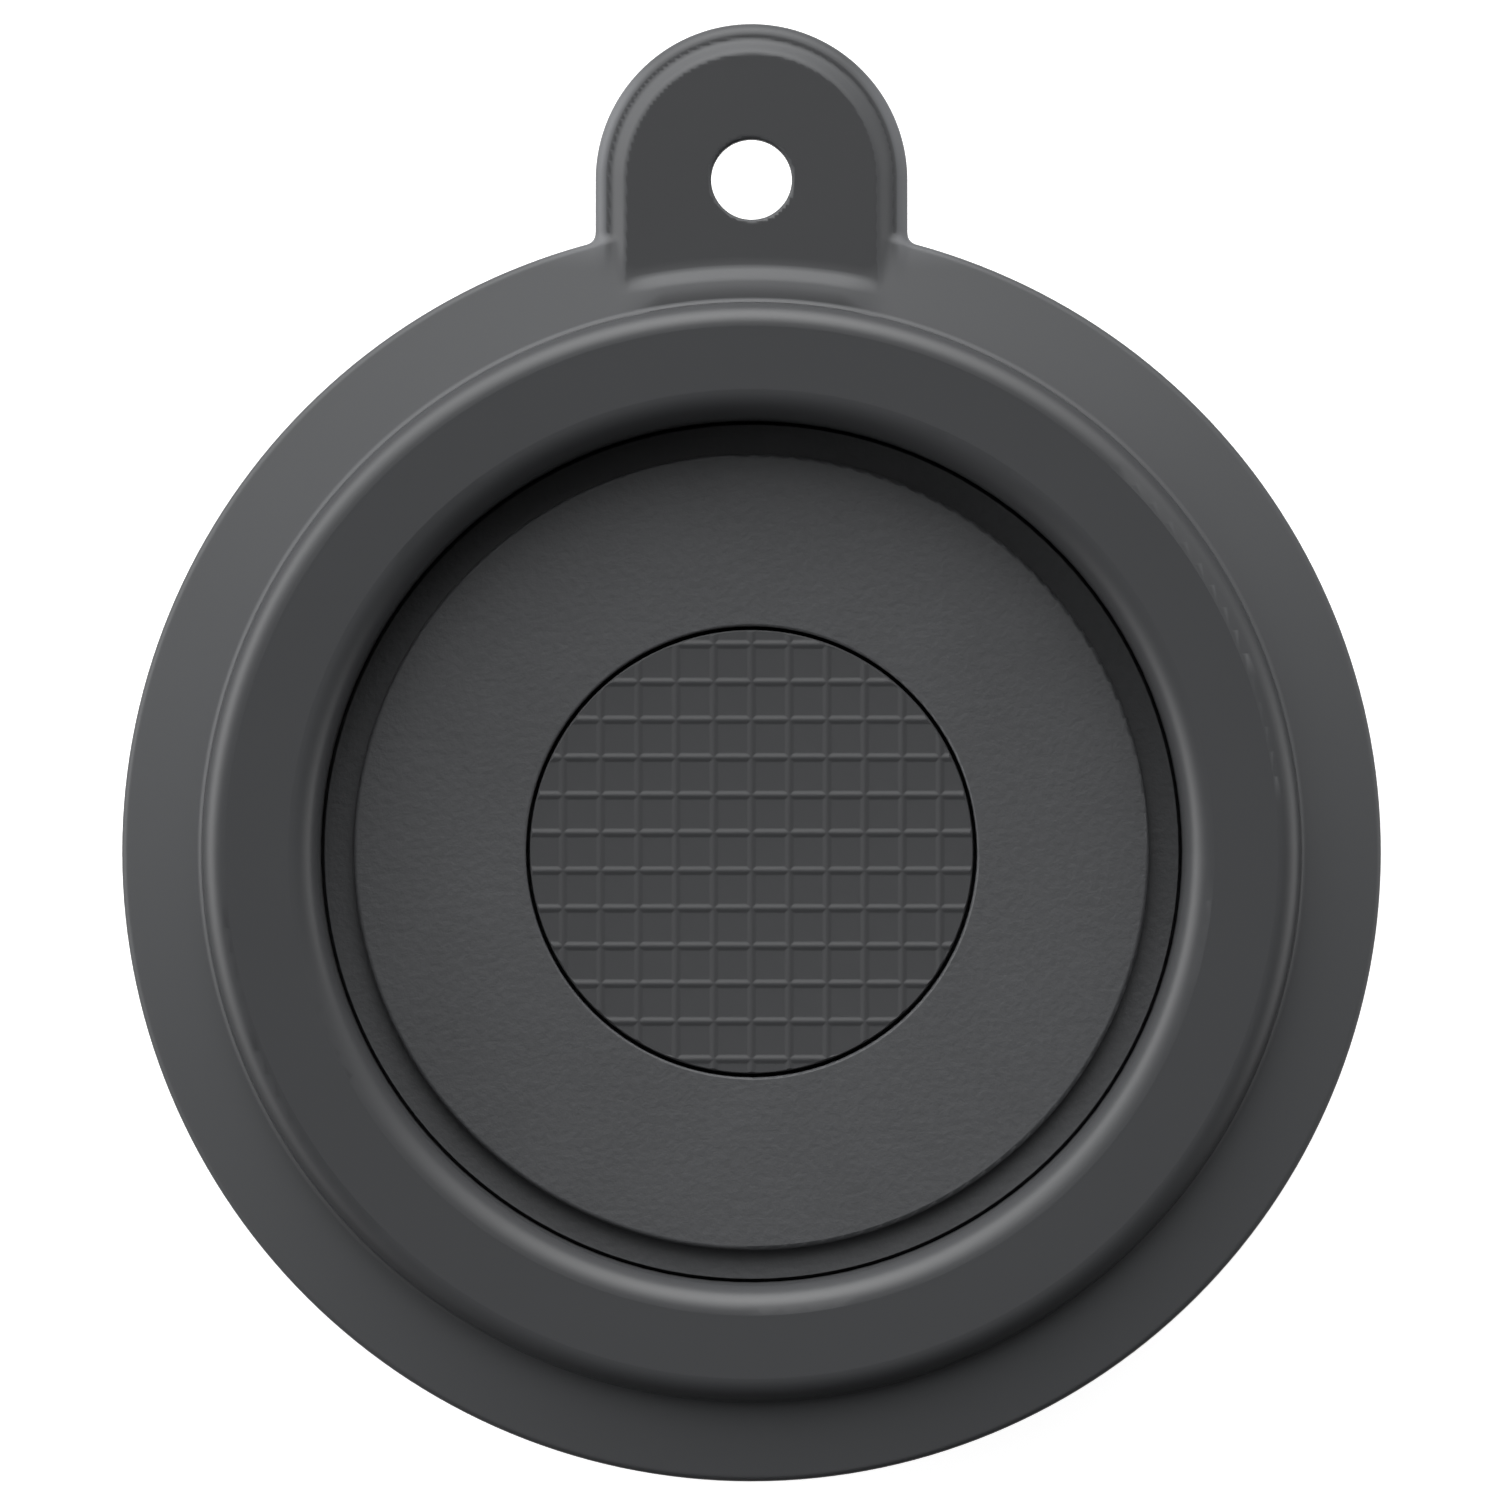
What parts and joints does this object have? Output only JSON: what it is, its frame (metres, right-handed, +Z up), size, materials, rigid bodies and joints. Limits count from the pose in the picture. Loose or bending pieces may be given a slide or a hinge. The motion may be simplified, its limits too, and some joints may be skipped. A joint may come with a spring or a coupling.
{
  "type": "portable mini washer",
  "caption": "Round battery-driven mini washer puck with a hanging tab, a bezel ring around a sunken cover with a gridded push button, and an impeller behind a base grille.",
  "frame": {"origin": "on the puck's axis, in the plane its rubber base ring rests on", "axes": "+Z up along the puck's axis, +Y from the axis out through the hanging tab; the charging port looks along -Y"},
  "size_m": [0.1, 0.1158, 0.056],
  "materials": {
    "soft_collar": "satin soft-touch",
    "bezel": "satin",
    "cover": "fine grained",
    "button": "moulded square grid, satin",
    "shell": "fine grained",
    "deck": "satin",
    "grille": "satin",
    "impeller": "moulded",
    "foot_rubber": "matt",
    "seal_rubber": "matt",
    "screw_steel": "plain",
    "spring_steel": "bright",
    "shaft_steel": "ground",
    "can_steel": "zinc plated",
    "magnet": "sintered",
    "bronze": "plain",
    "inner_plastic": "moulded",
    "switch_black": "moulded",
    "switch_red": "moulded",
    "board_green": "solder mask",
    "socket_metal": "tinned",
    "cell_wrap": "shrink film",
    "lens": "frosted",
    "lamp": "moulded",
    "wire_red": "insulation",
    "wire_black": "insulation"
  },
  "bodies": {
    "housing": {"bumper_collar": "soft_collar", "bezel_ring": "bezel", "cover_plate": "cover", "top_shell": "shell", "base_shell": "shell", "motor_deck": "deck", "base_ring": "foot_rubber", "cover_seal": "seal_rubber", "stem_seal": "seal_rubber", "deck_seal": "seal_rubber", "shaft_seal": "seal_rubber", "bezel_screws": "screw_steel", "cover_screws": "screw_steel", "board_screws": "screw_steel", "tray_screws": "screw_steel", "motor_screws": "screw_steel", "case_screws": "screw_steel", "button_spring": "spring_steel", "flap_pin": "spring_steel", "motor_can": "can_steel", "motor_magnets": "magnet", "front_bush": "bronze", "rear_bush": "bronze", "cell_contacts": "bronze", "motor_end_cap": "inner_plastic", "inner_tray": "inner_plastic", "tact_switch": "switch_black", "board_parts": "switch_black", "motor_brushes": "switch_black", "socket_tongue": "switch_black", "control_board": "board_green", "charge_socket": "socket_metal", "battery_cells": "cell_wrap", "indicator_lens": "lens", "status_lamp": "lamp", "motor_lead_red": "wire_red", "cell_lead_red": "wire_red", "motor_lead_black": "wire_black", "cell_lead_black": "wire_black"},
    "button": {"button_cap": "button", "button_stem": "inner_plastic", "stem_clip": "spring_steel", "switch_plunger": "switch_red"},
    "rotor": {"motor_shaft": "shaft_steel", "motor_armature": "can_steel", "motor_commutator": "bronze", "impeller": "impeller", "impeller_nut": "screw_steel"},
    "flap": {"port_flap": "shell", "port_plug": "seal_rubber"},
    "grille": {"intake_grille": "grille"}
  },
  "joints": [
    {"name": "button_press", "type": "slide", "parent": "housing", "child": "button", "axis": [0, 0, -1], "range_m": [0, 0.0008], "stiffness_N_per_m": 900, "springref_m": -0.001, "deforming": ["button_spring"]},
    {"name": "impeller_spin", "type": "hinge", "parent": "housing", "child": "rotor", "pos_m": [0, 0, 0.012], "axis": [0, 0, 1], "continuous": true},
    {"name": "flap_open", "type": "hinge", "parent": "housing", "child": "flap", "pos_m": [0, -0.0481, 0.03548], "axis": [1, 0, 0], "range_deg": [0, 95]},
    {"name": "grille_twist", "type": "hinge", "parent": "housing", "child": "grille", "pos_m": [0, 0, 0.0085], "axis": [0, 0, 1], "range_deg": [0, 25]}
  ]
}
